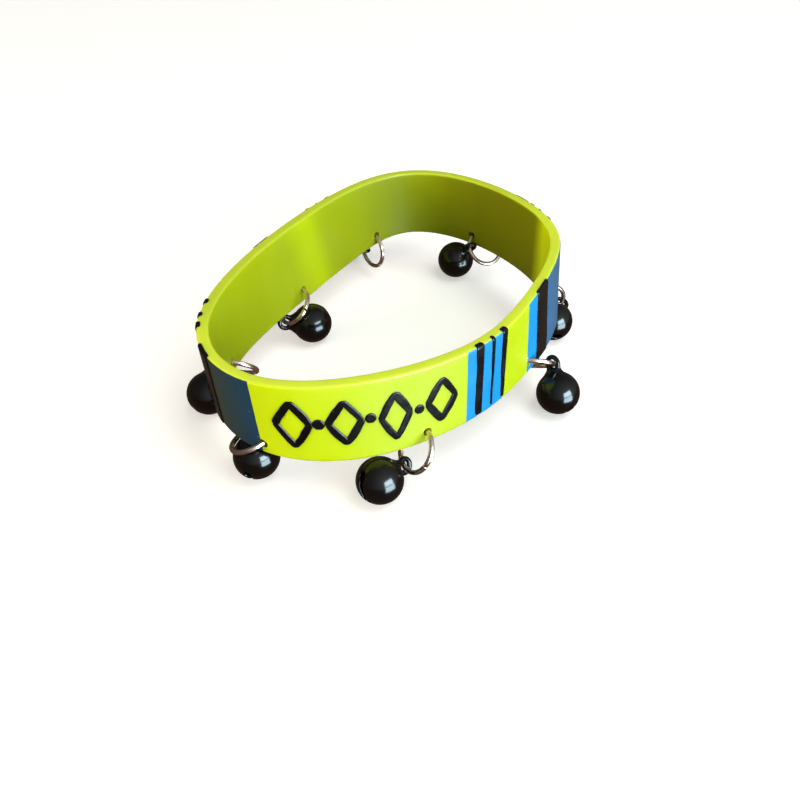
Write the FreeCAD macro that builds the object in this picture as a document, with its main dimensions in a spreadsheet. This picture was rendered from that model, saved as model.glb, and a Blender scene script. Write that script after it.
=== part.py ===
import FreeCAD, Part
import math
import os

# Bell bracelet: one moulded silicone band with eight pierced holes near its
# lower edge.  A split steel jump ring passes through each hole, and a small
# jingle bell hangs on each ring: a thin hollow ball with a neck and an eye,
# a slit with round ends at its far pole, and a loose pellet inside.
# Millimetres.  +Z is up, z = 0 is the surface that the bells lie on, and the
# long axis of the oval band runs along X.

V = FreeCAD.Vector
doc = FreeCAD.newDocument("bell_bracelet")
dims = doc.addObject("Spreadsheet::Sheet", "Dims")

CELLS = [
    ("band_width", 15.0),           # lower edge to upper edge
    ("band_thickness", 2.0),
    ("band_edge_height", 8.1),      # lower edge of the band above the surface
    ("hole_height", 2.0),           # centre of a ring hole above the band's lower edge
    ("hole_radius", 1.03),
    ("ring_mean_radius", 3.9),
    ("wire_radius", 0.45),
    ("ring_sweep", 357.0),          # the rest of the turn is the ring's saw cut
    ("bell_radius", 4.0),
    ("bell_wall", 0.4),
    ("eye_distance", 5.5),          # ball centre to the centre of its eye
    ("eye_mean_radius", 1.22),
    ("eye_wire_radius", 0.4),
    ("neck_base", 3.4),
    ("neck_height", 1.3),
    ("neck_radius_low", 1.75),
    ("neck_radius_high", 0.85),
    ("slit_width", 0.8),
    ("slit_half_length", 2.2),
    ("slit_end_radius", 0.7),
    ("slit_depth_from", 2.2),       # how far below the ball's centre the slit cutter starts
    ("pellet_radius", 1.2),
    ("pellet_gap", 0.03),
    ("shift_x", -0.189),
    ("shift_y", 0.273),
]
for row, (alias, value) in enumerate(CELLS, 1):
    dims.set("A%d" % row, alias)
    dims.set("B%d" % row, str(value))
    dims.setAlias("B%d" % row, alias)

# One row for each ring and its bell, numbered clockwise from the band's left
# end as seen from above: the hole's station as a share of the band's
# circumference, the ring's swing in the wall's plane, its yaw and its lean,
# where on the ring the bell hangs (degrees from the hole), where the ring's
# cut is, and the ball's centre in plan.
RINGS = [
    ("1", 0.43981, -36.8, -1.2, -0.7, 77.8, 230.0, -29.13, 23.62),
    ("2", 0.56015, -65.8, -0.9, -11.2, 244.5, 320.0, -37.65, 5.82),
    ("3", 0.68981, -31.7, -0.3, 5.7, 195.0, 105.0, -31.93, -15.12),
    ("4", 0.81481, 48.8, 14.9, 2.9, 94.5, 230.0, 3.58, -31.93),
    ("5", 0.93981, 10.4, 3.1, 2.0, 113.3, 230.0, 24.48, -22.44),
    ("6", 0.06481, -48.2, -13.5, 6.9, 307.3, 120.0, 35.83, 5.99),
    ("7", 0.31481, 53.2, -15.0, 0.9, 163.4, 260.0, -1.26, 19.98),
    ("8", 0.18981, 13.9, -12.7, 8.7, 119.2, 240.0, 28.57, 31.41),
]
FIELDS = ("station", "swing", "yaw", "lean", "hang", "cut", "ball_x", "ball_y")
# how far three of the bells are turned about their own necks, in degrees
CELLS_TWIST = [("twist_2", 8.0), ("twist_3", -30.0), ("twist_4", -30.0)]
row = len(CELLS) + 2
for alias, value in CELLS_TWIST:
    dims.set("A%d" % row, alias)
    dims.set("B%d" % row, str(value))
    dims.setAlias("B%d" % row, alias)
    row += 1
TWISTED = {alias[-1]: alias for alias, _ in CELLS_TWIST}
for ring in RINGS:
    for field, value in zip(FIELDS, ring[1:]):
        dims.set("A%d" % row, "%s_%s" % (field, ring[0]))
        dims.set("B%d" % row, str(value))
        dims.setAlias("B%d" % row, "%s_%s" % (field, ring[0]))
        row += 1
doc.recompute()


def dim(alias):
    return float(getattr(dims, alias))


SHIFT = V(dim("shift_x"), dim("shift_y"), 0)

# ---------------------------------------------------------------- the band
# The sprung oval that the soft band takes, as the poles of two closed cubic
# splines: its outer face at the upper edge and at the lower edge.  The two
# differ by up to 3 mm, because the wall leans as it goes round.
UPPER = [(28.28, -20.58), (36.09, -10.61), (40.15, 2.65), (39.0, 15.25), (31.39, 23.63), (17.35, 27.27), (-0.57, 27.98),
         (-18.62, 26.25), (-32.77, 21.03), (-39.98, 11.39), (-40.41, 0.29), (-33.46, -10.43),
         (-22.76, -19.57), (-10.67, -25.36), (2.94, -25.49), (16.82, -24.45)]
LOWER = [(27.45, -21.71), (35.64, -10.64), (40.4, 3.16), (39.74, 15.8), (32.83, 23.08), (18.82, 24.1), (0.51, 24.21),
         (-17.85, 24.25), (-31.96, 20.48), (-39.19, 10.95), (-40.14, -0.74), (-34.18, -12.21),
         (-23.21, -20.43), (-10.36, -25.6), (3.19, -26.74), (16.54, -26.51)]
COUNT = len(UPPER)


def closed_spline(poles, height):
    curve = Part.BSplineCurve()
    curve.buildFromPolesMultsKnots([V(x, y, height) + SHIFT for x, y in poles],
                                   [1] * (COUNT + 1), [float(i) for i in range(COUNT + 1)], True, 3)
    return curve


low_z = dim("band_edge_height")
high_z = low_z + dim("band_width")
lower_curve = closed_spline(LOWER, low_z)
upper_curve = closed_spline(UPPER, high_z)


def outward(curve, u):
    along = curve.tangent(u)[0]
    along.z = 0
    along.normalize()
    return along, V(along.y, -along.x, 0)


def inner_spline(curve, steps=64):
    points, params = [], []
    for i in range(steps):
        u = COUNT * i / steps
        points.append(curve.value(u) - outward(curve, u)[1] * dim("band_thickness"))
        params.append(u)
    inner = Part.BSplineCurve()
    inner.interpolate(Points=points, PeriodicFlag=True, Parameters=params + [float(COUNT)])
    return inner


def wire_object(name, curve):
    feature = doc.addObject("Part::Feature", name)
    feature.Shape = Part.Wire([curve.toShape()])
    return feature


def loft_object(name, sections):
    loft = doc.addObject("Part::Loft", name)
    loft.Sections = sections
    loft.Solid = True
    loft.Ruled = True
    return loft


outer_loft = loft_object("BandOuter", [wire_object("OuterLow", lower_curve), wire_object("OuterHigh", upper_curve)])
inner_loft = loft_object("BandInner", [wire_object("InnerLow", inner_spline(lower_curve)),
                                       wire_object("InnerHigh", inner_spline(upper_curve))])
band_wall = doc.addObject("Part::Cut", "BandWall")
band_wall.Base = outer_loft
band_wall.Tool = inner_loft

lower_edge = lower_curve.toShape()
lower_length = lower_edge.Length


def wall_frame(station):
    """The wall's middle at a station: point at the lower edge, along, up the wall, out of the wall."""
    distance = (station % 1.0) * lower_length
    u = lower_curve.parameterAtDistance(distance, 0.0)
    along, out_low = outward(lower_curve, u)
    out_high = outward(upper_curve, u)[1]
    half = dim("band_thickness") / 2
    foot = lower_curve.value(u) - out_low * half
    head = upper_curve.value(u) - out_high * half
    up = head - foot
    up.normalize()
    out = along.cross(up)
    out.normalize()
    return foot, along, up, out


def mix(a, va, b, vb):
    return va * a + vb * b


POSES = {}
cutters = []
for name, *_ in RINGS:
    foot, along, up, out = wall_frame(dim("station_" + name))
    swing, yaw, lean = (math.radians(dim(f + "_" + name)) for f in ("swing", "yaw", "lean"))
    hang, cut = (math.radians(dim(f + "_" + name)) for f in ("hang", "cut"))
    hole = foot + up * dim("hole_height")
    down = mix(math.sin(swing), along, -math.cos(swing), up)
    side = out.cross(down)
    across = mix(math.cos(yaw), out, math.sin(yaw), side)
    down, across = (mix(math.cos(lean), down, math.sin(lean), across),
                    mix(-math.sin(lean), down, math.cos(lean), across))
    radius = dim("ring_mean_radius")
    centre = hole + down * radius

    def on_ring(angle):
        return centre - down * (radius * math.cos(angle)) + across * (radius * math.sin(angle))

    eye = on_ring(hang)
    wire_way = mix(math.sin(hang), down, math.cos(hang), across)
    ball = V(dim("ball_x_" + name), dim("ball_y_" + name), dim("bell_radius")) + SHIFT
    # the eye lies on the ring's wire, and the ball rests on the surface at its own distance from the eye
    plan = V(ball.x - eye.x, ball.y - eye.y, 0)
    plan.normalize()
    fall = eye.z - ball.z
    ball = V(eye.x, eye.y, ball.z) + plan * math.sqrt(dim("eye_distance") ** 2 - fall ** 2)
    to_eye = eye - ball
    to_eye.normalize()
    POSES[name] = dict(hole=hole, out=out, up=up, along=along, centre=centre, down=down, across=across,
                       eye=eye, wire_way=wire_way, ball=ball, to_eye=to_eye, cut=on_ring(cut))
    cutter = doc.addObject("Part::Cylinder", "HoleCutter" + name)
    cutter.setExpression("Radius", "Dims.hole_radius")
    cutter.setExpression("Height", "Dims.band_thickness * 3")
    cutter.Placement = FreeCAD.Placement(hole - out * (dim("band_thickness") * 1.5), FreeCAD.Rotation(V(0, 0, 1), out))
    cutters.append(cutter)

holes = doc.addObject("Part::MultiFuse", "RingHoles")
holes.Shapes = cutters
band = doc.addObject("Part::Cut", "Band")
band.Base = band_wall
band.Tool = holes
band.Label = "band"
pieces = [band]

# ---------------------------------------------------------- rings and bells


def primitive(kind, name, **sizes):
    thing = doc.addObject(kind, name)
    for prop, expression in sizes.items():
        thing.setExpression(prop, expression)
    return thing


def axes_placement(origin, x_axis, z_axis):
    z = V(z_axis)
    z.normalize()
    x = x_axis - z * x_axis.dot(z)
    x.normalize()
    y = z.cross(x)
    matrix = FreeCAD.Matrix(x.x, y.x, z.x, origin.x, x.y, y.y, z.y, origin.y, x.z, y.z, z.z, origin.z, 0, 0, 0, 1)
    return FreeCAD.Placement(matrix)


for name, *_ in RINGS:
    pose = POSES[name]
    ring = primitive("Part::Torus", "Ring" + name, Radius1="Dims.ring_mean_radius", Radius2="Dims.wire_radius",
                     Angle3="Dims.ring_sweep")
    ring.Placement = axes_placement(pose["centre"], pose["cut"] - pose["centre"], pose["down"].cross(pose["across"]))
    ring.Label = "jump_ring_" + name
    pieces.append(ring)

    # the bell in its own frame: ball centre at the origin, eye up +Z, the eye's hole along Y
    ball = primitive("Part::Sphere", "Ball" + name, Radius="Dims.bell_radius")
    neck = primitive("Part::Cone", "Neck" + name, Radius1="Dims.neck_radius_low", Radius2="Dims.neck_radius_high",
                     Height="Dims.neck_height")
    neck.setExpression(".Placement.Base.z", "Dims.neck_base")
    eye = primitive("Part::Torus", "Eye" + name, Radius1="Dims.eye_mean_radius", Radius2="Dims.eye_wire_radius")
    eye.Placement = FreeCAD.Placement(V(0, 0, dim("eye_distance")), FreeCAD.Rotation(V(0, 0, 1), V(0, 1, 0)))
    outer = doc.addObject("Part::MultiFuse", "BellOuter" + name)
    outer.Shapes = [ball, neck, eye]
    hollow = primitive("Part::Sphere", "Hollow" + name, Radius="Dims.bell_radius - Dims.bell_wall")
    slit = primitive("Part::Box", "Slit" + name, Length="Dims.slit_half_length * 2", Width="Dims.slit_width",
                     Height="Dims.bell_radius")
    slit.setExpression(".Placement.Base.x", "-Dims.slit_half_length")
    slit.setExpression(".Placement.Base.y", "-Dims.slit_width / 2")
    slit.setExpression(".Placement.Base.z", "-Dims.bell_radius - Dims.slit_depth_from")
    tools = [hollow, slit]
    for sign, tag in ((-1, "L"), (1, "R")):
        end = primitive("Part::Cylinder", "SlitEnd%s%s" % (tag, name), Radius="Dims.slit_end_radius",
                        Height="Dims.bell_radius")
        end.setExpression(".Placement.Base.x", "%d * Dims.slit_half_length" % sign)
        end.setExpression(".Placement.Base.z", "-Dims.bell_radius - Dims.slit_depth_from")
        tools.append(end)
    inside = doc.addObject("Part::MultiFuse", "BellInside" + name)
    inside.Shapes = tools
    bell = doc.addObject("Part::Cut", "Bell" + name)
    bell.Base = outer
    bell.Tool = inside
    y_axis = pose["wire_way"] - pose["to_eye"] * pose["wire_way"].dot(pose["to_eye"])
    y_axis.normalize()
    twist = math.radians(dim(TWISTED[name])) if name in TWISTED else 0.0
    x_axis = mix(math.cos(twist), y_axis.cross(pose["to_eye"]), math.sin(twist), y_axis)
    bell.Placement = axes_placement(pose["ball"], x_axis, pose["to_eye"])
    bell.Label = "bell_" + name
    pieces.append(bell)

    pellet = primitive("Part::Sphere", "Pellet" + name, Radius="Dims.pellet_radius")
    drop = dim("bell_radius") - dim("bell_wall") - dim("pellet_radius") - dim("pellet_gap")
    pellet.Placement = FreeCAD.Placement(pose["ball"] - V(0, 0, drop), FreeCAD.Rotation())
    pellet.Label = "pellet_" + name
    pieces.append(pellet)

doc.recompute()

for thing in doc.Objects:
    if "Invalid" in thing.State or "Error" in thing.State:
        raise RuntimeError("%s is not built: %s" % (thing.Name, thing.State))
for piece in pieces:
    if piece.Shape.isNull() or not piece.Shape.isValid() or len(piece.Shape.Solids) != 1:
        raise RuntimeError("%s has no sound solid" % piece.Label)

os.makedirs("parts", exist_ok=True)
box = FreeCAD.BoundBox()
for piece in pieces:
    piece.Shape.exportStep("parts/%s.step" % piece.Label)
    box.add(piece.Shape.optimalBoundingBox(False, False))
print("pieces %d" % len(pieces))
print("box x %.3f..%.3f  y %.3f..%.3f  z %.3f..%.3f" % (box.XMin, box.XMax, box.YMin, box.YMax, box.ZMin, box.ZMax))
print("band length %.2f, volume %.1f" % (lower_length, band.Shape.Volume))
for name, *_ in RINGS:
    print("bell %s: ball centre %.2f %.2f %.2f" % ((name,) + tuple(POSES[name]["ball"])))
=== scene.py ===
"""Looks of the bell bracelet: a soft moulded band with printed stripes, eight jump rings and eight painted bells.

Everything is in metres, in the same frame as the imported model.  Lengths in the helper code are in millimetres and
are turned into metres where a mesh is made.
"""

import math

import bpy
import numpy as np
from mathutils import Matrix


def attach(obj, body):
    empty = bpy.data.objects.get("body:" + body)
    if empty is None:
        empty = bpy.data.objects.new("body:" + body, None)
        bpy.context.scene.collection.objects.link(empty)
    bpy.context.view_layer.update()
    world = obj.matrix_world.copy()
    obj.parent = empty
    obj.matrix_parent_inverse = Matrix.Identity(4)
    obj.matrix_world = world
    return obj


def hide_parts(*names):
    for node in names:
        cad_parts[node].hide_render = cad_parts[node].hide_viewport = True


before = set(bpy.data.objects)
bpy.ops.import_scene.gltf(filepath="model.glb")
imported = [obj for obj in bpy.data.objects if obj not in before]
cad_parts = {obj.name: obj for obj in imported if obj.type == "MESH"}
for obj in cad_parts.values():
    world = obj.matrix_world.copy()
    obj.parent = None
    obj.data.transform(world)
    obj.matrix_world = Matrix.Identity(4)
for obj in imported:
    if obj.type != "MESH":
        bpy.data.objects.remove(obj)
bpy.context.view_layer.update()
MM = 0.001
scene = bpy.context.scene

# ------------------------------------------------------------------ camera

cam_data = bpy.data.cameras.new("camera")
cam_data.sensor_fit = "HORIZONTAL"
cam_data.sensor_width = 36.0
cam_data.lens = 36.09
cam_data.clip_start = 0.005
cam_data.clip_end = 20.0
camera = bpy.data.objects.new("camera", cam_data)
scene.collection.objects.link(camera)
EYE = np.array([-108.703, -63.44, 100.10])
AIM = np.array([-16.767, -9.667, 8.1])


def unit(v):
    v = np.asarray(v, float)
    return v / np.linalg.norm(v)


def aimed(position, target):
    """Rotation columns of a camera or lamp at position that looks at target, in the order x, y, z."""
    back = unit(np.asarray(position, float) - np.asarray(target, float))
    right = np.cross((0.0, 0.0, 1.0), back)
    right = unit(right) if np.linalg.norm(right) > 1e-6 else np.array((1.0, 0.0, 0.0))
    return np.stack([right, np.cross(back, right), back], 1)


def place(obj, position, target):
    from mathutils import Matrix

    m = np.eye(4)
    m[:3, :3] = aimed(position, target)
    m[:3, 3] = np.asarray(position, float) * MM
    obj.matrix_world = Matrix([list(row) for row in m])


place(camera, EYE, AIM)
scene.camera = camera

# ---------------------------------------------------- the band as a surface
# Poles of the closed cubic splines that the outer face follows at its upper and its lower edge.
SHIFT = np.array([-0.189, 0.273])
UPPER = np.array([(28.28, -20.58), (36.09, -10.61), (40.15, 2.65), (39.0, 15.25), (31.39, 23.63), (17.35, 27.27), (-0.57, 27.98),
                  (-18.62, 26.25), (-32.77, 21.03), (-39.98, 11.39), (-40.41, 0.29), (-33.46, -10.43),
                  (-22.76, -19.57), (-10.67, -25.36), (2.94, -25.49), (16.82, -24.45)]) + SHIFT
LOWER = np.array([(27.45, -21.71), (35.64, -10.64), (40.4, 3.16), (39.74, 15.8), (32.83, 23.08), (18.82, 24.1), (0.51, 24.21),
                  (-17.85, 24.25), (-31.96, 20.48), (-39.19, 10.95), (-40.14, -0.74), (-34.18, -12.21),
                  (-23.21, -20.43), (-10.36, -25.6), (3.19, -26.74), (16.54, -26.51)]) + SHIFT
COUNT = len(UPPER)
LOW_Z, WIDTH, THICK = 8.1, 15.0, 2.0
# how each ring hangs: place along the band, swing, turn and lean of the ring, where the bell hangs on it, where its
# cut is, and which way the bell lies
RINGS = [("1", 0.43981, -36.8, -1.2, -0.7, 77.8, 230, -29.13, 23.62), ("2", 0.56015, -65.8, -0.9, -11.2, 244.5, 320, -37.65, 5.82),
         ("3", 0.68981, -31.7, -0.3, 5.7, 195.0, 105, -31.93, -15.12), ("4", 0.81481, 48.8, 14.9, 2.9, 94.5, 230, 3.58, -31.93),
         ("5", 0.93981, 10.4, 3.1, 2.0, 113.3, 230, 24.48, -22.44), ("6", 0.06481, -48.2, -13.5, 6.9, 307.3, 120, 35.83, 5.99),
         ("7", 0.31481, 53.2, -15.0, 0.9, 163.4, 260, -1.26, 19.98), ("8", 0.18981, 13.9, -12.7, 8.7, 119.2, 240, 28.57, 31.41)]
TWIST = {"2": 8.0, "3": -30.0, "4": -30.0}  # bells turned about their own necks
HOLE_UP, RING_R, WIRE_R, BELL_R, EYE_AT = 2.0, 3.9, 0.45, 4.0, 5.5


def spline(poles, u, derivative=0):
    u = np.atleast_1d(np.asarray(u, float)) % COUNT
    k = np.floor(u).astype(int)
    t = u - k
    if derivative == 0:
        basis = ((1 - t) ** 3 / 6, (3 * t**3 - 6 * t**2 + 4) / 6, (-3 * t**3 + 3 * t**2 + 3 * t + 1) / 6, t**3 / 6)
    else:
        basis = (-((1 - t) ** 2) / 2, (9 * t**2 - 12 * t) / 6, (-9 * t**2 + 6 * t + 3) / 6, t**2 / 2)
    return sum(b[:, None] * poles[(k + j) % COUNT] for j, b in enumerate(basis))


def outward(poles, u):
    along = spline(poles, u, 1)
    along /= np.linalg.norm(along, axis=1)[:, None]
    return along, np.stack([along[:, 1], -along[:, 0]], 1)


def wall(u, depth, height):
    """Points of the wall: depth in from the outer face, height above the lower edge."""
    u, depth, height = np.broadcast_arrays(np.asarray(u, float), np.asarray(depth, float), np.asarray(height, float))
    shape = u.shape
    u, depth, height = u.ravel(), depth.ravel(), height.ravel()
    low = spline(LOWER, u) - outward(LOWER, u)[1] * depth[:, None]
    high = spline(UPPER, u) - outward(UPPER, u)[1] * depth[:, None]
    f = (height / WIDTH)[:, None]
    xy = low * (1 - f) + high * f
    return np.concatenate([xy, (LOW_Z + height)[:, None]], 1).reshape(shape + (3,))


FINE = np.linspace(0, COUNT, COUNT * 400 + 1)


def running_length(poles):
    xy = spline(poles, FINE)
    return np.concatenate([[0.0], np.cumsum(np.linalg.norm(np.diff(xy, axis=0), axis=1))])


LOWER_RUN, UPPER_RUN = running_length(LOWER), running_length(UPPER)
LOWER_LEN, UPPER_LEN = LOWER_RUN[-1], UPPER_RUN[-1]


def u_of_station(station):
    return float(np.interp((station % 1.0) * LOWER_LEN, LOWER_RUN, FINE))


def u_of_run(run):
    """The spline's parameter at a length along the upper edge."""
    run = np.asarray(run, float)
    turns = np.floor(run / UPPER_LEN)
    return np.interp(run - turns * UPPER_LEN, UPPER_RUN, FINE) + turns * COUNT


def run_of_u(u):
    u = np.asarray(u, float)
    turns = np.floor(u / COUNT)
    return np.interp(u - turns * COUNT, FINE, UPPER_RUN) + turns * UPPER_LEN


def hanging(ring):
    """Where a ring and its bell are, as in the model."""
    name, station, swing, yaw, lean, hang, cut, bx, by = ring
    u = u_of_station(station)
    along, out_low = (np.append(v[0], 0.0) for v in outward(LOWER, u))
    foot, head = wall(u, THICK / 2, 0.0), wall(u, THICK / 2, WIDTH)
    up = unit(head - foot)
    out = unit(np.cross(along, up))
    swing, yaw, lean, hang, cut = (math.radians(x) for x in (swing, yaw, lean, hang, cut))
    hole = foot + up * HOLE_UP
    down = math.sin(swing) * along - math.cos(swing) * up
    side = np.cross(out, down)
    across = math.cos(yaw) * out + math.sin(yaw) * side
    down, across = (math.cos(lean) * down + math.sin(lean) * across, -math.sin(lean) * down + math.cos(lean) * across)
    centre = hole + down * RING_R

    def on_ring(angle):
        return centre - down * (RING_R * math.cos(angle)) + across * (RING_R * math.sin(angle))

    eye = on_ring(hang)
    wire_way = math.sin(hang) * down + math.cos(hang) * across
    ball = np.array([bx + SHIFT[0], by + SHIFT[1], BELL_R])
    plan = unit(np.array([ball[0] - eye[0], ball[1] - eye[1], 0.0]))
    fall = eye[2] - ball[2]
    ball = np.array([eye[0], eye[1], ball[2]]) + plan * math.sqrt(EYE_AT**2 - fall**2)
    return dict(name=name, u=u, up=up, out=out, along=along, hole=hole, centre=centre, down=down, across=across,
                cut=cut, eye=eye, wire_way=wire_way, ball=ball, to_eye=unit(eye - ball))


POSES = [hanging(r) for r in RINGS]

# ------------------------------------------------------------ mesh helpers


def make_mesh(name, verts_mm, faces, smooth=True):
    mesh = bpy.data.meshes.new(name)
    mesh.from_pydata((np.asarray(verts_mm, float) * MM).tolist(), [], [list(map(int, f)) for f in faces])
    mesh.validate()
    mesh.polygons.foreach_set("use_smooth", [smooth] * len(mesh.polygons))
    mesh.update()
    obj = bpy.data.objects.new(name, mesh)
    scene.collection.objects.link(obj)
    return obj


def grid_faces(rows, cols, start=0, close_cols=False, flip=False):
    """Quads of a grid of rows x cols vertices, stored row by row."""
    out = []
    for i in range(rows - 1):
        for j in range(cols if close_cols else cols - 1):
            a, b = start + i * cols + j, start + i * cols + (j + 1) % cols
            c, d = b + cols, a + cols
            out.append((a, d, c, b) if flip else (a, b, c, d))
    return out


# --------------------------------------------------------------- materials


class Nodes:
    """A small helper that adds shader nodes and joins them."""

    def __init__(self, name):
        self.material = bpy.data.materials.new(name)
        self.material.use_nodes = True
        self.tree = self.material.node_tree
        self.tree.nodes.clear()
        self.out = self.add("ShaderNodeOutputMaterial")
        self.shader = self.add("ShaderNodeBsdfPrincipled")
        self.join(self.shader, "BSDF", self.out, "Surface")

    def add(self, kind, **props):
        node = self.tree.nodes.new(kind)
        for key, value in props.items():
            if key in node.inputs:
                node.inputs[key].default_value = value
            else:
                setattr(node, key, value)
        return node

    def join(self, a, out, b, into):
        self.tree.links.new(a.outputs[out], b.inputs[into])
        return b

    def set(self, **values):
        for key, value in values.items():
            self.shader.inputs[key.replace("_", " ")].default_value = value

    def noise(self, coords, scale, detail=3.0, rough=0.55, out="Object"):
        node = self.add("ShaderNodeTexNoise")
        node.inputs["Scale"].default_value = scale
        node.inputs["Detail"].default_value = detail
        node.inputs["Roughness"].default_value = rough
        self.join(coords, out, node, "Vector")
        return node

    def ramp(self, source, out, stops, interpolation="LINEAR"):
        node = self.add("ShaderNodeValToRGB")
        ramp = node.color_ramp
        ramp.interpolation = interpolation
        while len(ramp.elements) > 1:
            ramp.elements.remove(ramp.elements[-1])
        ramp.elements[0].position = stops[0][0]
        ramp.elements[0].color = tint(stops[0][1])
        for position, value in stops[1:]:
            ramp.elements.new(position).color = tint(value)
        self.join(source, out, node, "Fac")
        return node

    def mix(self, blend, factor, a, b):
        """Mix of two colours; each argument is a colour, a number or a (node, output) pair."""
        node = self.add("ShaderNodeMix", data_type="RGBA", blend_type=blend)
        for socket, value in ((node.inputs[0], factor), (node.inputs[6], a), (node.inputs[7], b)):
            if isinstance(value, tuple) and isinstance(value[0], bpy.types.Node):
                self.tree.links.new(value[0].outputs[value[1]], socket)
            else:
                socket.default_value = value
        return node

    def spread(self, source, out, low, high, from_low=0.0, from_high=1.0):
        node = self.add("ShaderNodeMapRange")
        node.inputs["From Min"].default_value = from_low
        node.inputs["From Max"].default_value = from_high
        node.inputs["To Min"].default_value = low
        node.inputs["To Max"].default_value = high
        self.join(source, out, node, "Value")
        return node

    def bump(self, source, out, distance, strength=1.0, below=None):
        node = self.add("ShaderNodeBump")
        node.inputs["Strength"].default_value = strength
        node.inputs["Distance"].default_value = distance
        self.join(source, out, node, "Height")
        if below is not None:
            self.join(below, "Normal", node, "Normal")
        return node


def tint(value):
    if isinstance(value, (int, float)):
        return (value, value, value, 1.0)
    return tuple(value) + (1.0,) if len(value) == 3 else tuple(value)


def srgb(r, g, b):
    """A colour given as a screen shows it, as the light that it stands for."""
    def one(c):
        c /= 255.0
        return c / 12.92 if c <= 0.04045 else ((c + 0.055) / 1.055) ** 2.4
    return (one(r), one(g), one(b), 1.0)


# Printed pattern, as lengths along the band from the start of its front half; the far half repeats it with small
# shifts.  The blue is printed flat: from, to, and the ink's colour at both ends.  The wide panels' colours are the
# blue ink with painted shade and a painted sheen in it: dark on the left panel, greyer blue on the right one.
HALF = UPPER_LEN / 2
PATTERN_AT = 107.1
AZURE = srgb(1, 160, 243)
INK_SHADE_SHEEN_LEFT, INK_SHADE_SHEEN_LEFT_2 = srgb(52, 66, 56), srgb(26, 66, 98)
INK_SHADE_SHEEN_RIGHT, INK_SHADE_SHEEN_RIGHT_2 = srgb(62, 118, 168), srgb(70, 104, 138)
INKS = [(3.6, 13.5, INK_SHADE_SHEEN_LEFT, INK_SHADE_SHEEN_LEFT_2), (49.4, 58.3, AZURE, AZURE), (67.0, 71.6, AZURE, AZURE), (75.4, 90.7, INK_SHADE_SHEEN_RIGHT, INK_SHADE_SHEEN_RIGHT_2),
        (99.0, 107.2, AZURE, AZURE), (HALF + 3.6, HALF + 15.4, INK_SHADE_SHEEN_LEFT, INK_SHADE_SHEEN_LEFT_2), (HALF + 49.4, HALF + 58.3, AZURE, AZURE),
        (HALF + 67.0, HALF + 71.6, AZURE, AZURE), (HALF + 75.4, HALF + 90.4, INK_SHADE_SHEEN_RIGHT, INK_SHADE_SHEEN_RIGHT_2),
        (HALF + 92.8, HALF + 102.0, AZURE, AZURE)]
# painted shade on the inner face, and how dark: darker where print on the outer face keeps light from coming through
# the wall, and along stretches turned away from the light
INNER_PAINTED_SHADE = [(0.0, 0.40), (4.5, 0.95), (20.0, 1.0), (30.0, 0.55), (44.0, 0.45), (50.0, 0.55), (57.0, 0.50), (60.5, 0.05), (65.5, 0.05),
          (69.5, 0.45), (80.0, 0.45), (87.0, 0.0), (97.5, 0.0), (101.5, 1.0), (HALF + 12.0, 1.0), (HALF + 20.0, 0.90),
          (HALF + 27.0, 0.66), (HALF + 46.0, 0.46), (HALF + 54.0, 0.46), (HALF + 57.5, 0.42), (HALF + 61.5, 0.10),
          (HALF + 64.0, 0.10), (HALF + 69.5, 0.38), (HALF + 88.0, 0.34), (HALF + 101.0, 0.34), (HALF + 107.0, 0.40)]


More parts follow.
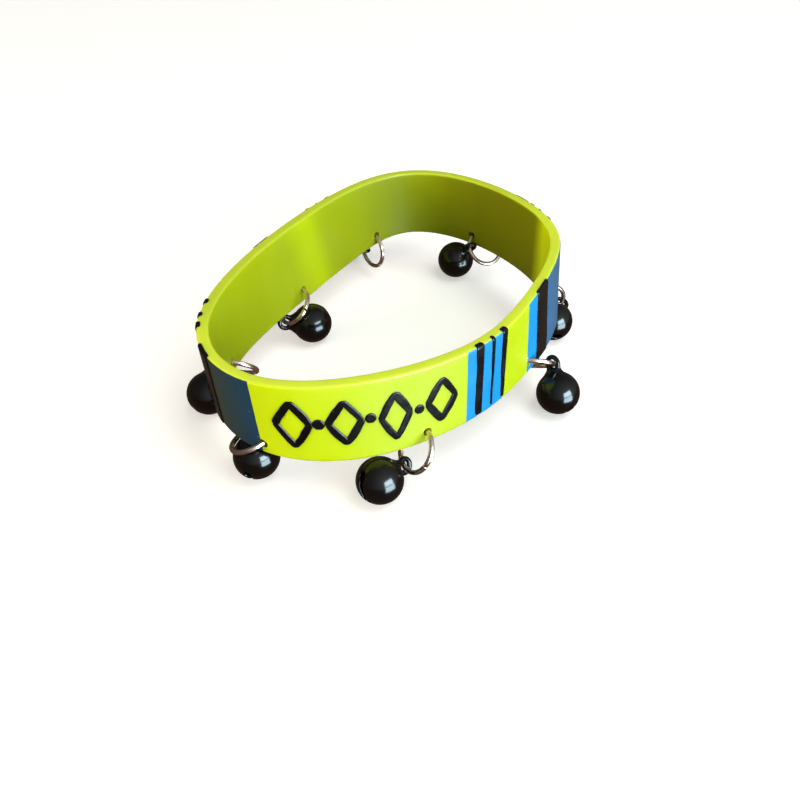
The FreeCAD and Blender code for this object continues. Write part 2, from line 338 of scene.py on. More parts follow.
def silicone_material():
    m = Nodes("silicone_printed")
    coords = m.add("ShaderNodeTexCoord")
    uv = m.add("ShaderNodeUVMap", uv_map="along_band")
    split = m.add("ShaderNodeSeparateXYZ")
    m.join(uv, "UV", split, "Vector")
    # the print's edge wanders by a few hundredths of a millimetre
    wander = m.noise(coords, 900.0, 2.0)
    off = m.spread(wander, "Fac", -0.06 / HALF, 0.06 / HALF)
    moved = m.add("ShaderNodeMath", operation="ADD")
    m.join(split, "X", moved, 0)
    m.join(off, "Result", moved, 1)
    halved = m.add("ShaderNodeMath", operation="MULTIPLY")
    m.join(moved, "Value", halved, 0)
    halved.inputs[1].default_value = 0.5
    part = m.add("ShaderNodeMath", operation="FRACT")
    m.join(halved, "Value", part, 0)
    blue = None
    for a, b, _, _ in INKS:
        inside = m.add("ShaderNodeMath", operation="COMPARE")
        m.join(part, "Value", inside, 0)
        inside.inputs[1].default_value = (a + b) / 2 / UPPER_LEN
        inside.inputs[2].default_value = (b - a) / 2 / UPPER_LEN
        if blue is not None:
            either = m.add("ShaderNodeMath", operation="ADD")
            m.join(blue, "Value", either, 0)
            m.join(inside, "Value", either, 1)
            inside = either
        blue = inside
    # only the outer face is printed: the map's second coordinate is above 0 there
    outer = m.add("ShaderNodeMath", operation="GREATER_THAN")
    m.join(split, "Y", outer, 0)
    outer.inputs[1].default_value = 0.0
    mask = m.add("ShaderNodeMath", operation="MULTIPLY")
    m.join(blue, "Value", mask, 0)
    m.join(outer, "Value", mask, 1)

    cloud = m.noise(coords, 55.0, 3.0)
    plain = m.ramp(cloud, "Fac", [(0.30, srgb(199, 224, 0)), (0.70, srgb(206, 231, 3))])
    # painted sheen: the moulded rim is painted paler, for light from above glancing off its top
    spot = m.add("ShaderNodeSeparateXYZ")
    m.join(coords, "Object", spot, "Vector")
    rim = m.spread(spot, "Z", 0.0, 1.0, 0.02258, 0.02292)
    rim_painted_sheen = m.spread(rim, "Result", 0.0, 0.22)
    with_rim_painted_sheen = m.mix("MIX", (rim_painted_sheen, "Result"), (plain, "Color"), srgb(226, 232, 128))
    # painted shade: the inner face is painted darker where print on the outer face keeps light from shining through it
    inner_painted_shade = m.ramp(part, "Value", [(a / UPPER_LEN, v) for a, v in INNER_PAINTED_SHADE])
    inner = m.add("ShaderNodeMath", operation="SUBTRACT")
    inner.inputs[0].default_value = 1.0
    m.join(outer, "Value", inner, 1)
    below_rim = m.add("ShaderNodeMath", operation="SUBTRACT")
    below_rim.inputs[0].default_value = 1.0
    m.join(rim, "Result", below_rim, 1)
    both = m.add("ShaderNodeMath", operation="MULTIPLY")
    m.join(inner, "Value", both, 0)
    m.join(below_rim, "Value", both, 1)
    shade = m.add("ShaderNodeMath", operation="MULTIPLY")
    m.join(both, "Value", shade, 0)
    m.join(inner_painted_shade, "Color", shade, 1)
    # painted shade: the far side's rim is painted darker, as less light reaches it
    far_rim_painted_shade = m.ramp(part, "Value", [(0.0, 0.0), (0.47, 0.0), (0.54, 0.26), (0.95, 0.26), (0.99, 0.0)])
    rim_shade = m.add("ShaderNodeMath", operation="MULTIPLY")
    m.join(rim, "Result", rim_shade, 0)
    m.join(far_rim_painted_shade, "Color", rim_shade, 1)
    shades = m.add("ShaderNodeMath", operation="ADD")
    m.join(shade, "Value", shades, 0)
    m.join(rim_shade, "Value", shades, 1)
    # painted shade: the rubber's colour is multiplied towards a dark olive by the painted shade amounts
    rubber_with_painted_shade = m.mix("MULTIPLY", (shades, "Value"), (with_rim_painted_sheen, 2), (0.30, 0.27, 0.10, 1.0))
    # the inks' colours carry painted shade and a painted sheen on the wide panels
    inks_and_painted_shade = m.ramp(part, "Value", [stop for a, b, one, two in INKS for stop in ((a / UPPER_LEN, one), (b / UPPER_LEN, two))])
    ink_cloud = m.noise(coords, 260.0, 4.0)
    uneven = m.ramp(ink_cloud, "Fac", [(0.30, (0.86, 0.88, 0.92)), (0.72, (1.0, 1.0, 1.0))])
    ink = m.mix("MULTIPLY", 1.0, (inks_and_painted_shade, "Color"), (uneven, "Color"))
    base = m.mix("MIX", (mask, "Value"), (rubber_with_painted_shade, 2), (ink, 2))
    # dust that a soft surface picks up
    dust = m.add("ShaderNodeTexVoronoi", feature="F1")
    dust.inputs["Scale"].default_value = 620.0
    dust.inputs["Randomness"].default_value = 1.0
    m.join(coords, "Object", dust, "Vector")
    speck = m.ramp(dust, "Distance", [(0.0, 1.0), (0.07, 0.0)])
    few = m.noise(coords, 140.0, 1.0)
    here = m.ramp(few, "Fac", [(0.60, 0.0), (0.66, 0.7)])
    specks = m.mix("MULTIPLY", 1.0, (speck, "Color"), (here, "Color"))
    final = m.mix("MIX", (specks, 2), (base, 2), srgb(225, 228, 205))
    m.join(final, 2, m.shader, "Base Color")

    smear = m.noise(coords, 130.0, 4.0, 0.6)
    rough = m.spread(smear, "Fac", 0.34, 0.50, 0.3, 0.7)
    m.join(rough, "Result", m.shader, "Roughness")
    skin = m.noise(coords, 1500.0, 2.0)
    flow = m.noise(coords, 110.0, 2.0)
    first = m.bump(flow, "Fac", 0.00012, 0.6)
    second = m.bump(skin, "Fac", 0.00001, 0.5, first)
    m.join(second, "Normal", m.shader, "Normal")
    m.set(IOR=1.41, Subsurface_Radius=(1.0, 1.0, 0.25), Subsurface_Scale=0.0016)
    # light goes into the silicone, not through the ink
    through = m.spread(mask, "Value", 0.6, 0.0)
    m.join(through, "Result", m.shader, "Subsurface Weight")
    m.shader.subsurface_method = "RANDOM_WALK"
    return m.material


def print_material():
    """Raised black print: thick glossy ink with dust in it."""
    m = Nodes("raised_black_print")
    coords = m.add("ShaderNodeTexCoord")
    cloud = m.noise(coords, 300.0, 3.0)
    base = m.ramp(cloud, "Fac", [(0.3, srgb(5, 5, 7)), (0.7, srgb(13, 12, 15))])
    dust = m.add("ShaderNodeTexVoronoi", feature="F1")
    dust.inputs["Scale"].default_value = 1500.0
    m.join(coords, "Object", dust, "Vector")
    speck = m.ramp(dust, "Distance", [(0.0, 1.0), (0.13, 0.0)])
    few = m.noise(coords, 420.0, 2.0)
    here = m.ramp(few, "Fac", [(0.52, 0.0), (0.60, 0.55)])
    specks = m.mix("MULTIPLY", 1.0, (speck, "Color"), (here, "Color"))
    final = m.mix("MIX", (specks, 2), (base, "Color"), srgb(150, 150, 158))
    m.join(final, 2, m.shader, "Base Color")
    rough = m.spread(cloud, "Fac", 0.20, 0.34, 0.3, 0.7)
    m.join(rough, "Result", m.shader, "Roughness")
    grain = m.noise(coords, 1300.0, 2.0)
    m.join(m.bump(grain, "Fac", 0.00003, 0.6), "Normal", m.shader, "Normal")
    m.set(IOR=1.42)
    return m.material


def enamel_material():
    """Glossy black paint over a pressed metal bell."""
    m = Nodes("black_enamel")
    coords = m.add("ShaderNodeTexCoord")
    cloud = m.noise(coords, 210.0, 3.0)
    base = m.ramp(cloud, "Fac", [(0.3, srgb(5, 5, 6)), (0.7, srgb(11, 10, 11))])
    dust = m.add("ShaderNodeTexVoronoi", feature="F1")
    dust.inputs["Scale"].default_value = 900.0
    m.join(coords, "Object", dust, "Vector")
    speck = m.ramp(dust, "Distance", [(0.0, 1.0), (0.09, 0.0)])
    few = m.noise(coords, 330.0, 1.0)
    here = m.ramp(few, "Fac", [(0.58, 0.0), (0.66, 0.35)])
    specks = m.mix("MULTIPLY", 1.0, (speck, "Color"), (here, "Color"))
    final = m.mix("MIX", (specks, 2), (base, "Color"), srgb(120, 116, 112))
    m.join(final, 2, m.shader, "Base Color")
    smear = m.noise(coords, 160.0, 3.0, 0.6)
    rough = m.spread(smear, "Fac", 0.15, 0.21, 0.3, 0.7)
    m.join(rough, "Result", m.shader, "Roughness")
    peel = m.noise(coords, 520.0, 2.0)
    m.join(m.bump(peel, "Fac", 0.00004, 0.4), "Normal", m.shader, "Normal")
    m.set(IOR=1.45)
    return m.material


def steel_material(name, light, dark, low, high, scale):
    m = Nodes(name)
    coords = m.add("ShaderNodeTexCoord")
    cloud = m.noise(coords, scale, 3.0)
    base = m.ramp(cloud, "Fac", [(0.3, dark), (0.7, light)])
    m.join(base, "Color", m.shader, "Base Color")
    smear = m.noise(coords, scale * 2.5, 4.0, 0.65)
    rough = m.spread(smear, "Fac", low, high, 0.3, 0.7)
    m.join(rough, "Result", m.shader, "Roughness")
    scratch = m.noise(coords, scale * 9, 2.0)
    m.join(m.bump(scratch, "Fac", 0.00002, 0.5), "Normal", m.shader, "Normal")
    m.set(Metallic=1.0)
    return m.material


SILICONE = silicone_material()
PRINT = print_material()
ENAMEL = enamel_material()
# painted reflection: the plating's pink tint stands in for a brown top reflected in the rings
RING_PLATING_PAINTED_REFLECTION = steel_material("ring_plating_pink_reflection", srgb(240, 216, 205), srgb(214, 184, 172), 0.18, 0.32, 300.0)
PELLET_STEEL = steel_material("pellet_steel", srgb(190, 188, 184), srgb(150, 148, 146), 0.28, 0.42, 400.0)

# ---------------------------------------------------------- the band's mesh
EDGE_R = 0.38          # rounding of the band's four edges
TOP = WIDTH - 0.16     # the raised print wraps over the upper rim and reaches the full width
LIP = 0.14             # rounding of a hole's lip
CELL, HALF_CELLS = 0.33, 4
HOLE_ROW = 1.98


def corner(cd, ch, a0, a1, n):
    return [(cd + EDGE_R * math.cos(a), ch + EDGE_R * math.sin(a)) for a in np.radians(np.linspace(a0, a1, n))]


rows_low = [EDGE_R] + [HOLE_ROW + CELL * k for k in range(-HALF_CELLS, HALF_CELLS + 1)]
rows_high = np.linspace(rows_low[-1], TOP - EDGE_R, 18)[1:]
face_rows = sorted(rows_low + [float(h) for h in rows_high])
# the section, once round: up the outer face, over the rim, down the inner face and under the lower edge
section = [(0.0, h) for h in face_rows]
first_outer = 0
section += corner(EDGE_R, TOP - EDGE_R, 180, 90, 7)[1:]
section += [(d, TOP) for d in np.linspace(EDGE_R, THICK - EDGE_R, 5)[1:-1]]
section += corner(THICK - EDGE_R, TOP - EDGE_R, 90, 0, 7)
first_inner = len(section) - 1
section += [(THICK, h) for h in face_rows[::-1][1:]]
section += corner(THICK - EDGE_R, EDGE_R, 0, -90, 7)[1:]
section += [(d, 0.0) for d in np.linspace(THICK - EDGE_R, EDGE_R, 5)[1:-1]]
section += corner(EDGE_R, EDGE_R, -90, -180, 7)[:-1]
section = np.array(section)
ROWS = len(section)

columns, patches = [], []
for p in POSES:
    run = float(run_of_u(p["u"]))
    step = CELL * np.linalg.norm(spline(UPPER, p["u"], 1)) / np.linalg.norm(spline(LOWER, p["u"], 1))
    patch = [run + step * k for k in range(-HALF_CELLS, HALF_CELLS + 1)]
    patches.append((p, patch))
order = sorted(range(len(patches)), key=lambda i: patches[i][1][0] % UPPER_LEN)
runs, patch_col = [], {}
for n, i in enumerate(order):
    p, patch = patches[i]
    start = patch[0] % UPPER_LEN
    patch = [start + (x - patch[0]) for x in patch]
    patch_col[i] = len(runs)
    runs += patch
    following = patches[order[(n + 1) % len(order)]][1][0] % UPPER_LEN
    if following < patch[-1]:
        following += UPPER_LEN
    gap = following - patch[-1]
    count = max(2, int(round(gap / 0.42)))
    runs += [patch[-1] + gap * k / count for k in range(1, count)]
runs = np.array(runs)
COLS = len(runs)
u_cols = u_of_run(runs)
points = wall(u_cols[:, None], section[None, :, 0], section[None, :, 1])  # COLS x ROWS x 3
verts = [points.reshape(-1, 3)]
total = COLS * ROWS
uv_of = []  # second coordinate is 1 on the printed face, -1 elsewhere


def vid(c, r):
    return (c % COLS) * ROWS + (r % ROWS)


holes_at = {}
skip = set()
for i, (p, _) in enumerate(patches):
    c0 = patch_col[i]
    for c in range(c0, c0 + 2 * HALF_CELLS):
        for r in range(1, 1 + 2 * HALF_CELLS):
            skip.add((c, r))
inner_row = {}  # row on the inner face that mirrors a row on the outer one
for r in range(len(face_rows)):
    inner_row[r] = first_inner + (len(face_rows) - 1 - r)
skip_inner = set()
for c, r in skip:
    skip_inner.add((c, inner_row[r + 1]))

faces, loop_uv = [], []
printed_rows = set(range(0, len(face_rows) + 2)) | set(range(ROWS - 3, ROWS))
scale_u = 1.0 / HALF


def uv_for(run, printed):
    return ((run - PATTERN_AT + UPPER_LEN) * scale_u, 1.0 if printed else -1.0)


for c in range(COLS):
    next_run = runs[c + 1] if c + 1 < COLS else runs[0] + UPPER_LEN
    for r in range(ROWS):
        if (c, r) in skip or (c, r) in skip_inner:
            continue
        faces.append((vid(c, r), vid(c + 1, r), vid(c + 1, r + 1), vid(c, r + 1)))
        printed = r in printed_rows
        a, b = uv_for(runs[c], printed), uv_for(next_run, printed)
        loop_uv += [a, b, b, a]

# each hole: a square patch that turns into a round lip, then a short tunnel to the other face
for i, (p, patch) in enumerate(patches):
    c0 = patch_col[i]
    ring_ids, n = [], 2 * HALF_CELLS
    border = [(k, 0) for k in range(n)] + [(n, k) for k in range(n)] + [(n - k, n) for k in range(n)] + [(0, n - k) for k in range(n)]
    # the wire goes through the hole on a bend, so the hole is as wide as it needs to turn in it
    need = 0.0
    for a in np.radians(np.linspace(-25, 25, 101)):
        q = p["centre"] - p["down"] * RING_R * math.cos(a) + p["across"] * RING_R * math.sin(a) - p["hole"]
        t = q @ p["out"]
        if abs(t) <= THICK / 2 + 0.02:
            need = max(need, np.linalg.norm(q - p["out"] * t))
    radius = need + WIRE_R + 0.05
    up_z = p["up"][2]
    speed = float(np.linalg.norm(spline(LOWER, p["u"], 1)))
    run_mid = runs[c0 + HALF_CELLS]

    def at(a, b, depth):
        """A point a along the wall and b up it from the hole's middle, at a depth."""
        return wall(p["u"] + a / speed, depth, HOLE_UP * up_z + b * up_z)

    squares = []
    for (ic, ir) in border:
        h = face_rows[1 + ir]
        squares.append(((ic - HALF_CELLS) * CELL, (h - HOLE_UP * up_z) / up_z))
    squares = np.array(squares)
    angles = np.arctan2(squares[:, 1], squares[:, 0])
    circle = np.stack([np.cos(angles), np.sin(angles)], 1)
    rings = []
    for t in (0.3, 0.6, 0.85, 1.0):
        rings.append((squares * (1 - t) + circle * (radius + LIP) * t, 0.0))
    for a in np.radians((30, 60, 90)):
        rings.append((circle * (radius + LIP * (1 - math.sin(a))), LIP * (1 - math.cos(a))))
    for f in (0.25, 0.5, 0.75):
        rings.append((circle * radius, LIP + (THICK - 2 * LIP) * f))
    for a in np.radians((90, 60, 30, 0)):
        rings.append((circle * (radius + LIP * (1 - math.sin(a))), THICK - LIP * (1 - math.cos(a))))
    for t in (0.85, 0.6, 0.3):
        rings.append((squares * (1 - t) + circle * (radius + LIP) * t, THICK))
    outer_ids = [vid(c0 + ic, 1 + ir) for ic, ir in border]
    inner_ids = [vid(c0 + ic, inner_row[1 + ir]) for ic, ir in border]
    id_rings, widths = [outer_ids], [squares[:, 0]]
    for plan, depth in rings:
        new = at(plan[:, 0], plan[:, 1], depth)
        verts.append(new)
        id_rings.append(list(range(total, total + len(new))))
        widths.append(plan[:, 0])
        total += len(new)
    id_rings.append(inner_ids)
    widths.append(squares[:, 0])
    m = len(border)
    for k in range(len(id_rings) - 1):
        printed = k < 6
        for j in range(m):
            jj = (j + 1) % m
            faces.append((id_rings[k][j], id_rings[k][jj], id_rings[k + 1][jj], id_rings[k + 1][j]))
            loop_uv += [uv_for(run_mid + w, printed) for w in (widths[k][j], widths[k][jj], widths[k + 1][jj], widths[k + 1][j])]

verts = np.concatenate(verts)
mesh = bpy.data.meshes.new("band_moulding")
mesh.from_pydata((verts * MM).tolist(), [], faces)
mesh.polygons.foreach_set("use_smooth", [True] * len(mesh.polygons))
layer = mesh.uv_layers.new(name="along_band")
layer.data.foreach_set("uv", np.array(loop_uv, np.float32).ravel())
mesh.update()
band = bpy.data.objects.new("band_moulding", mesh)
scene.collection.objects.link(band)
band.data.materials.append(SILICONE)
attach(band, "band")
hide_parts("band")

# --------------------------------------------------------- the raised print
# length along the section from the lower edge of the outer face, up and over the rim
path = [(0.0, h, -1.0, 0.0) for h in np.linspace(0.0, TOP - EDGE_R, 60)]
path += [(EDGE_R + EDGE_R * math.cos(a), TOP - EDGE_R + EDGE_R * math.sin(a), math.cos(a), math.sin(a))
         for a in np.radians(np.linspace(180, 90, 12)[1:])]
path += [(d, TOP, 0.0, 1.0) for d in np.linspace(EDGE_R, THICK / 2 + 0.3, 8)[1:]]
path = np.array(path)
path_run = np.concatenate([[0.0], np.cumsum(np.linalg.norm(np.diff(path[:, :2], axis=0), axis=1))])
CORNER_RUN = TOP - EDGE_R + EDGE_R * math.pi / 2


def raised(run, q, lift):
    """Points of the outer face at a length along the band and a length up the section, lifted off the surface."""
    run, q, lift = np.broadcast_arrays(run, q, lift)
    shape = run.shape
    run, q, lift = run.ravel(), q.ravel(), lift.ravel()
    d, h, nd, nh = (np.interp(q, path_run, path[:, k]) for k in range(4))
    size = np.hypot(nd, nh)
    nd, nh = nd / size, nh / size
    return wall(u_of_run(run), d + nd * lift, h + nh * lift).reshape(shape + (3,))


PRINT_H, SINK = 0.22, 0.06


def edge_lift(distance, soft):
    e = np.clip(distance / soft, 0, 1)
    return np.sqrt(np.clip(1 - (1 - e) ** 2, 0, 1))


def bead(centre_run, centre_q, half_width, name_rows, across_dir):
    """One raised stroke as a closed shell, in grid form.

    centre_run and centre_q follow the stroke's middle line; across_dir is the unit vector across it in (run, q)."""
    n = len(centre_run)
    side = np.sin(np.radians(np.linspace(-90, 90, 13)))
    w = half_width[:, None]
    run = centre_run[:, None] + side[None, :] * w * across_dir[:, 0:1]
    q = centre_q[:, None] + side[None, :] * w * across_dir[:, 1:2]
    to_edge = w * (1 - np.abs(side[None, :]))
    steps = np.concatenate([[0.0], np.cumsum(np.hypot(np.diff(centre_run), np.diff(centre_q)))])
    to_end = np.minimum(steps, steps[-1] - steps)[:, None]
    lift = PRINT_H * edge_lift(to_edge, 0.16) * edge_lift(to_end, name_rows)
    # the rim takes a thinner coat
    over = np.clip((q - (CORNER_RUN - 0.3)) / 0.5, 0, 1)
    lift = lift * (1 - 0.55 * over)
    top = raised(run, q, lift - 0.0)
    bottom = raised(run, q, -SINK)
    return top, bottom, n, len(side)


strokes_v, strokes_f, count = [], [], 0


def add_bead(top, bottom, rows, cols):
    global count
    strokes_v.append(top.reshape(-1, 3))
    strokes_v.append(bottom.reshape(-1, 3))
    a, b = count, count + rows * cols
    strokes_f.extend(grid_faces(rows, cols, a))
    strokes_f.extend(grid_faces(rows, cols, b, flip=True))
    rim = [(r, 0) for r in range(rows)] + [(rows - 1, c) for c in range(1, cols)] + \
          [(r, cols - 1) for r in range(rows - 2, -1, -1)] + [(0, c) for c in range(cols - 2, 0, -1)]
    ids = [r * cols + c for r, c in rim]
    for k in range(len(ids)):
        kk = (k + 1) % len(ids)
        strokes_f.append((a + ids[kk], a + ids[k], b + ids[k], b + ids[kk]))
    count += 2 * rows * cols


rng = np.random.default_rng(7)


def wobble(t, size):
    """A slow seeded wander along a stroke."""
    out = np.zeros_like(t)
    for k in (1.3, 2.9, 5.3):
        out += size / k * np.sin(2 * math.pi * (k * t + rng.random()))
    return out


# (middle at the top, width at the top, width at the bottom, gap left above the lower edge, how far over the rim)
STRIPES = [(2.05, 4.1, 3.9, 0.30, 0.14), (52.1, 1.60, 1.45, 0.62, 0.50), (55.25, 0.72, 0.34, 0.85, 0.45), (58.25, 1.42, 0.85, 0.80, 0.55),
           (73.5, 5.0, 4.9, 0.30, 0.05), (94.9, 1.5, 1.3, 0.6, 0.30), (98.9, 1.2, 0.8, 0.7, 0.28), (101.9, 1.6, 1.3, 0.6, 0.30)]
for turn in (0, 1):
    for number, (mid, top_w, low_w, gap, over) in enumerate(STRIPES):
        # the print laps over the rim where the front shows it, and ends below it elsewhere
        laps = (number < 5) == (turn == 0)
        if number > 4 and turn == 0:
            mid += (5.0, 4.6, 4.2)[number - 5]
        if number == 5 and turn == 1:
            gap = 3.35  # a ring's hole is below it
        q0, q1 = gap, CORNER_RUN + (over if laps else -0.34)
        q = np.concatenate([q0 + np.array([0, .01, .03, .06, .1, .16, .24]), np.linspace(q0 + 0.4, TOP - EDGE_R - 0.5, 26),
                            np.linspace(TOP - EDGE_R - 0.4, q1 - 0.24, 11), q1 - np.array([0, .01, .03, .06, .1, .16])[::-1]])
        t = (q - q0) / (q1 - q0)
        half = (low_w + (top_w - low_w) * t**0.8) / 2 + wobble(t, 0.035)
        # rounded corners at both ends
        end = np.minimum(q - q0, q1 - q)
        r = min(0.42, top_w * 0.5)
        cut_back = np.where(end < r, r - np.sqrt(np.clip(r**2 - (r - end) ** 2, 0, None)), 0)
        half = np.maximum(half - cut_back * 0.9, 0.03)
        run = PATTERN_AT + turn * HALF + mid + wobble(t, 0.05) - (top_w - low_w) * 0.18 * (1 - t)
        across = np.tile([1.0, 0.0], (len(q), 1))
        top, bottom, n, cols = bead(run, q, half, 0.2, across)
        add_bead(top, bottom, n, cols)

# A plain row of brushed diamonds and dots stands where the front face carries raised print.
MOTIF = []
for k in range(4):
    x, h = 19.6 + k * 8.25, 7.55 + 0.25 * math.sin(2.3 * k)
    wide, tall = 2.55 + 0.15 * math.sin(1.7 * k + 1), 4.05 + 0.2 * math.cos(2.9 * k)
    corners = [(x - wide, h), (x + 0.1, h + tall), (x + wide, h + 0.1), (x - 0.05, h - tall)]
    for i in range(4):
        MOTIF.append(("stroke", corners[i], corners[(i + 1) % 4], 0.60 + 0.07 * math.sin(3.1 * k + 1.9 * i)))
    if k < 3:
        MOTIF.append(("dot", (x + 4.12, h + 0.3 * math.sin(k + 1)), None, 0.98 - 0.06 * k))
for turn in (0, 1):
    base = PATTERN_AT + turn * HALF
    for kind, start, end, w in MOTIF:
        if kind == "stroke":
            t = np.concatenate([np.linspace(0, 0.10, 9)[:-1], np.linspace(0.10, 0.90, 26), np.linspace(0.90, 1.0, 9)[1:]])
            (x0, h0), (x1, h1) = start, end
            length = math.hypot(x1 - x0, h1 - h0)
            # each stroke runs a little past the corner, over the next one
            ex, eh = (x1 - x0) / length * 0.34, (h1 - h0) / length * 0.34
            x0, h0, x1, h1, length = x0 - ex, h0 - eh, x1 + ex, h1 + eh, length + 0.68
            nx, nh = -(h1 - h0) / length, (x1 - x0) / length
            bow = 0.16 * np.sin(math.pi * t) + wobble(t, 0.03)
            run = base + x0 + (x1 - x0) * t + nx * bow
            q = h0 + (h1 - h0) * t + nh * bow
            body = w * (0.86 + 0.24 * np.sin(math.pi * t * 0.9 + 0.4)) + wobble(t, 0.02)
            ends = np.minimum(t, 1 - t) * length
            half = body * np.sqrt(np.clip(1 - (1 - np.clip(ends / w, 0, 1)) ** 2, 0.0009, 1))
            slope = np.stack([np.gradient(run, t), np.gradient(q, t)], 1)
        else:
            t = (1 - np.cos(np.linspace(0, math.pi, 19))) / 2
            x0, h0 = start
            q = h0 - w + 2 * w * t
            run = base + x0 + 0 * t
            half = np.sqrt(np.clip(w**2 - (q - h0) ** 2, 0.0004, None)) * (1 + 0.04 * np.sin(5 * t))
            slope = np.stack([np.zeros_like(t), np.ones_like(t)], 1)
        slope /= np.linalg.norm(slope, axis=1)[:, None]
        across = np.stack([slope[:, 1], -slope[:, 0]], 1)
        top, bottom, n, cols = bead(run, q, half, 0.16, across)
        add_bead(top, bottom, n, cols)

raised_print = make_mesh("raised_print", np.concatenate(strokes_v), strokes_f)
raised_print.data.materials.append(PRINT)
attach(raised_print, "band")

# ---------------------------------------------------------------- the rings
for p in POSES:
    n_round, gap = 28, math.radians(1.6)
    angles = np.linspace(p["cut"] + gap, p["cut"] + 2 * math.pi - gap, 150)
    normal = np.cross(p["down"], p["across"])
    rows = []
    # cut faces are slightly rounded where the cutters bit
    inset = [(0.0, 0.0), (0.0, 0.6), (0.0, 0.86), (0.03 / RING_R, 0.97)]
    stations = [(angles[0], f) for _, f in inset[:3]] + [(angles[0] + inset[3][0], 0.975)]
    stations += [(a, 1.0) for a in angles[2:-2]]
    stations += [(angles[-1] - inset[3][0], 0.975)] + [(angles[-1], f) for _, f in inset[:3][::-1]]
    for a, f in stations:
        radial = -p["down"] * math.cos(a) + p["across"] * math.sin(a)
        mid = p["centre"] + radial * RING_R
        ring = []
        for b in np.linspace(0, 2 * math.pi, n_round, endpoint=False):
            # two turns of wire pressed together: a groove runs round the outside and the inside of the ring
            r = WIRE_R * max(f, 0.002) * (1 - 0.17 * math.exp(-((math.sin(b) / 0.20) ** 2)))
            ring.append(mid + radial * (r * math.cos(b)) + normal * (r * math.sin(b)))
        rows.append(ring)
    verts_ring = np.array(rows).reshape(-1, 3)
    f_ring = grid_faces(len(rows), n_round, close_cols=True)
    last = (len(rows) - 1) * n_round
    f_ring.append(tuple(range(n_round)))
    f_ring.append(tuple(range(last + n_round - 1, last - 1, -1)))
    obj = make_mesh("ring_wire_" + p["name"], verts_ring, f_ring)
    obj.data.materials.append(RING_PLATING_PAINTED_REFLECTION)
    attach(obj, "ring_" + p["name"])
    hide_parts("jump_ring_" + p["name"])

# ---------------------------------------------------------------- the bells


def smooth_min(a, b, k):
    h = np.clip(0.5 + 0.5 * (b - a) / k, 0, 1)
    return b * (1 - h) + a * h - k * h * (1 - h)


def smooth_max(a, b, k):
    return -smooth_min(-a, -b, k)


def capsule(p, a, b, ra, rb):
    a, b = np.array(a, float), np.array(b, float)
    ab = b - a
    t = np.clip(((p - a) @ ab) / (ab @ ab), 0, 1)
    return np.linalg.norm(p - (a + t[..., None] * ab), axis=-1) - (ra + (rb - ra) * t)


def bell_field(p):
    """Signed distance to a bell: a hollow ball whose neck flares from the legs of a small loop, slit underneath."""
    x, y, z = p[..., 0], p[..., 1], p[..., 2]
    ball = np.linalg.norm(p, axis=-1) - BELL_R
    loop = np.hypot(np.hypot(x, z - EYE_AT) - 1.22, y) - 0.45
    legs = np.minimum(capsule(p, (-1.0, 0, 4.9), (-1.22, 0, 3.5), 0.42, 0.66), capsule(p, (1.0, 0, 4.9), (1.22, 0, 3.5), 0.42, 0.66))
    web = capsule(p, (0, 0, 3.95), (0, 0, 3.1), 0.60, 1.25)
    neck = smooth_min(legs, web, 0.5)
    shape = smooth_min(smooth_min(ball, neck, 0.95), loop, 0.20)
    hollow = np.linalg.norm(p, axis=-1) - 3.6
    slot_x = np.maximum(np.abs(x) - 2.2, 0)
    slot = np.hypot(slot_x, y) - np.where(np.abs(x) > 2.2, 0.4, 0.4)
    ends = np.minimum(np.hypot(x - 2.2, y), np.hypot(x + 2.2, y)) - 0.7
    slit = smooth_max(smooth_min(slot, ends, 0.12), z + 1.4, 0.05)
    return smooth_max(shape, -smooth_min(hollow, slit, 0.10), 0.10)


def net(field, low, high, cell):
    """Quads that follow the field's zero surface."""
    size = [int(math.ceil((h - l) / cell)) + 1 for l, h in zip(low, high)]
    axes = [l + cell * np.arange(n) for l, n in zip(low, size)]
    g = np.stack(np.meshgrid(*axes, indexing="ij"), -1)
    f = field(g)
    cells = tuple(n - 1 for n in size)
    total_p, hits = np.zeros(cells + (3,)), np.zeros(cells)
    edges = []
    for axis in range(3):
        a = [slice(None)] * 3
        b = [slice(None)] * 3
        a[axis], b[axis] = slice(0, -1), slice(1, None)
        fa, fb = f[tuple(a)], f[tuple(b)]
        cross = (fa < 0) != (fb < 0)
        idx = np.argwhere(cross)
        va, vb = fa[cross], fb[cross]
        t = va / (va - vb)
        pos = np.stack([axes[k][idx[:, k]] for k in range(3)], 1)
        pos[:, axis] += t * cell
        o1, o2 = [k for k in range(3) if k != axis]
        quad = []
        for d1, d2 in ((-1, -1), (0, -1), (0, 0), (-1, 0)):
            c = idx.copy()
            c[:, o1] += d1
            c[:, o2] += d2
            ok = np.all((c >= 0) & (c < np.array(cells)), axis=1)
            np.add.at(total_p, tuple(c[ok].T), pos[ok])
            np.add.at(hits, tuple(c[ok].T), 1)
            quad.append(c)
        edges.append((axis, va < 0, quad))
    used = hits > 0
    number = -np.ones(cells, int)
    number[used] = np.arange(used.sum())
    points_net = total_p[used] / hits[used][:, None]
    out = []
    for axis, inside_first, quad in edges:
        ids = np.stack([number[tuple(np.clip(c, 0, np.array(cells) - 1).T)] for c in quad], 1)
        turn = inside_first if axis != 1 else ~inside_first
        ids = np.where(turn[:, None], ids, ids[:, ::-1])
        out.append(ids[np.all(ids >= 0, axis=1)])
    for _ in range(4):
        value = field(points_net)
        e = 1e-3
        grad = np.stack([(field(points_net + np.eye(3)[k] * e) - field(points_net - np.eye(3)[k] * e)) / (2 * e) for k in range(3)], 1)
        step = value[:, None] * grad / np.maximum((grad**2).sum(1), 0.25)[:, None]
        points_net = points_net - np.clip(step, -0.5 * cell, 0.5 * cell)
    return points_net, np.concatenate(out)


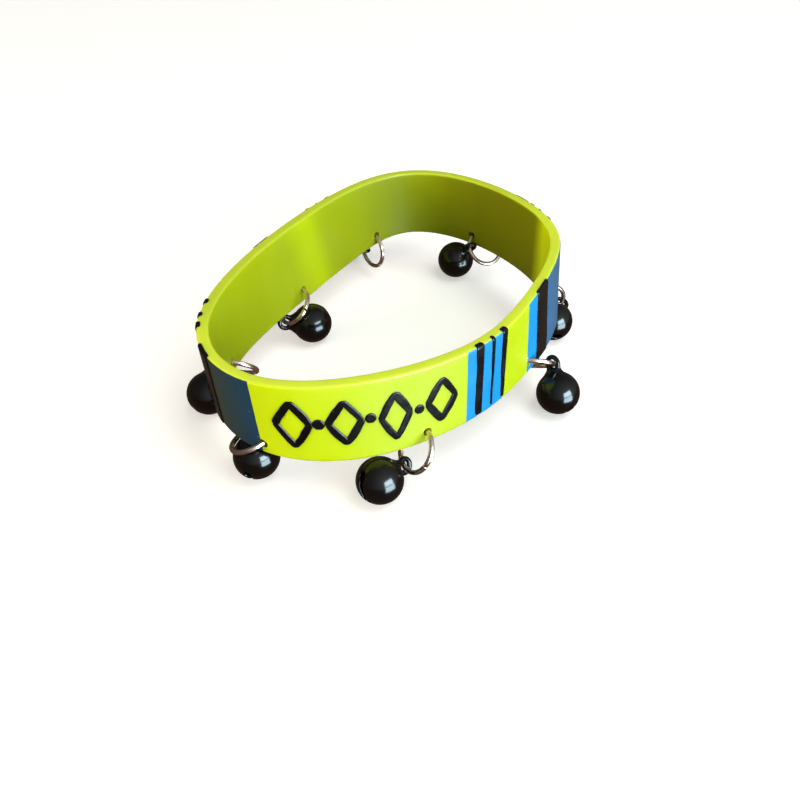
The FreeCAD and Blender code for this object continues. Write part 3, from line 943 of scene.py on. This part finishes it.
bell_points, bell_faces = net(bell_field, (-4.35, -4.35, -4.35), (4.35, 4.35, 7.4), 0.145)
for p in POSES:
    z = p["to_eye"]
    y = unit(p["wire_way"] - z * (p["wire_way"] @ z))
    x = np.cross(y, z)
    twist = math.radians(TWIST.get(p["name"], 0.0))
    x, y = math.cos(twist) * x + math.sin(twist) * y, math.cos(twist) * y - math.sin(twist) * x
    turned = bell_points @ np.stack([x, y, z]) + p["ball"]
    obj = make_mesh("bell_shell_" + p["name"], turned, bell_faces)
    obj.data.materials.append(ENAMEL)
    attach(obj, "bell_" + p["name"])
    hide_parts("bell_" + p["name"])
    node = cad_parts["pellet_" + p["name"]]
    node.data.materials.clear()
    node.data.materials.append(PELLET_STEEL)

# ------------------------------------------------------------------- studio
floor_mesh = bpy.data.meshes.new("floor")
s = 3.0
floor_mesh.from_pydata([(-s, -s, 0), (s, -s, 0), (s, s, 0), (-s, s, 0)], [], [(0, 1, 2, 3)])
floor = bpy.data.objects.new("floor", floor_mesh)
scene.collection.objects.link(floor)
fm = Nodes("pale_floor")
fcoords = fm.add("ShaderNodeTexCoord")
fnoise = fm.noise(fcoords, 6.0, 3.0)
fbase = fm.ramp(fnoise, "Fac", [(0.3, (0.74, 0.74, 0.74)), (0.7, (0.76, 0.76, 0.76))])
fm.join(fbase, "Color", fm.shader, "Base Color")
fm.set(Roughness=0.9, IOR=1.2, Emission_Color=(1.0, 1.0, 1.0, 1.0), Emission_Strength=0.42)
floor.data.materials.append(fm.material)
# the object was photographed over a darker top than this floor, so the floor throws no light or reflection back at it
floor.visible_diffuse = False
floor.visible_glossy = False
floor.visible_transmission = False
floor.visible_shadow = False


def area(name, position, target, width, height, radiance, colour=(1, 1, 1), spread=180.0):
    """A rectangular lamp of a given brightness seen from the front."""
    data = bpy.data.lights.new(name, "AREA")
    data.shape = "RECTANGLE"
    data.size, data.size_y = width * MM, height * MM
    data.energy = radiance * math.pi * data.size * data.size_y
    data.color = colour
    data.spread = math.radians(spread)
    obj = bpy.data.objects.new(name, data)
    scene.collection.objects.link(obj)
    place(obj, position, target)
    return obj


# a window low on the right: its even light, and the two bright sashes that show in the bells
WINDOW_WAY = unit((-0.25, -0.97, 0.0))
window_side = np.cross(WINDOW_WAY, (0, 0, 1))
light_at = WINDOW_WAY * 620 + np.array([0, 0, 95])
even = area("window_light", light_at, light_at - WINDOW_WAY * 600, 340, 450, 6.6, (0.82, 0.95, 0.92))
even.visible_glossy = False
for j, strength in ((-1, 20.0), (1, 26.0)):
    at_point = WINDOW_WAY * 540 + np.array([0, 0, 95 + j * 134])
    sash = area("sash_%d" % j, at_point, at_point - WINDOW_WAY * 600, 400, 236, strength, (0.66, 0.88, 1.0))
    sash.visible_diffuse = False
overhead = area("overhead", (80, -260, 620), (0, 0, 0), 420, 420, 3.9, (1.0, 0.98, 0.90))
overhead.visible_glossy = False
# a weak warm light from the left reaches the left end and the inside of the right end
side = area("side_fill", (-480, 350, 165), (40, 0, 12), 280, 300, 11.5, (1.0, 0.78, 0.50))
side.visible_glossy = False
warm = area("warm_fill", (-560, -250, 270), (0, 0, 15), 300, 300, 1.6, (1.0, 0.88, 0.66))
warm.visible_glossy = False

world = bpy.data.worlds.new("studio")
scene.world = world
world.use_nodes = True
wt = world.node_tree
back = wt.nodes["Background"]
way = wt.nodes.new("ShaderNodeTexCoord")
parts = wt.nodes.new("ShaderNodeSeparateXYZ")
wt.links.new(way.outputs["Generated"], parts.inputs["Vector"])
toward = wt.nodes.new("ShaderNodeVectorMath")
toward.operation = "DOT_PRODUCT"
toward.inputs[1].default_value = tuple(unit((-0.25, -0.97, 0.45)))
wt.links.new(way.outputs["Generated"], toward.inputs[0])
upper = wt.nodes.new("ShaderNodeValToRGB")
upper.color_ramp.elements[0].position = 0.0
upper.color_ramp.elements[0].color = (0.10, 0.095, 0.09, 1)
upper.color_ramp.elements[1].position = 1.0
upper.color_ramp.elements[1].color = (0.85, 0.89, 0.93, 1)
upper.color_ramp.elements.new(0.50).color = (0.20, 0.20, 0.19, 1)
upper.color_ramp.elements.new(0.80).color = (0.50, 0.52, 0.53, 1)
half_way = wt.nodes.new("ShaderNodeMapRange")
half_way.inputs["From Min"].default_value = -0.6
wt.links.new(toward.outputs["Value"], half_way.inputs["Value"])
wt.links.new(half_way.outputs["Result"], upper.inputs["Fac"])
level = wt.nodes.new("ShaderNodeMapRange")
level.inputs["From Min"].default_value = -0.10
level.inputs["From Max"].default_value = 0.06
wt.links.new(parts.outputs["Z"], level.inputs["Value"])
blend = wt.nodes.new("ShaderNodeMix")
blend.data_type = "RGBA"
blend.inputs[6].default_value = (0.13, 0.08, 0.055, 1.0)
wt.links.new(level.outputs["Result"], blend.inputs[0])
wt.links.new(upper.outputs["Color"], blend.inputs[7])
wt.links.new(blend.outputs[2], back.inputs["Color"])
back.inputs["Strength"].default_value = 1.0

scene.view_settings.view_transform = "Standard"
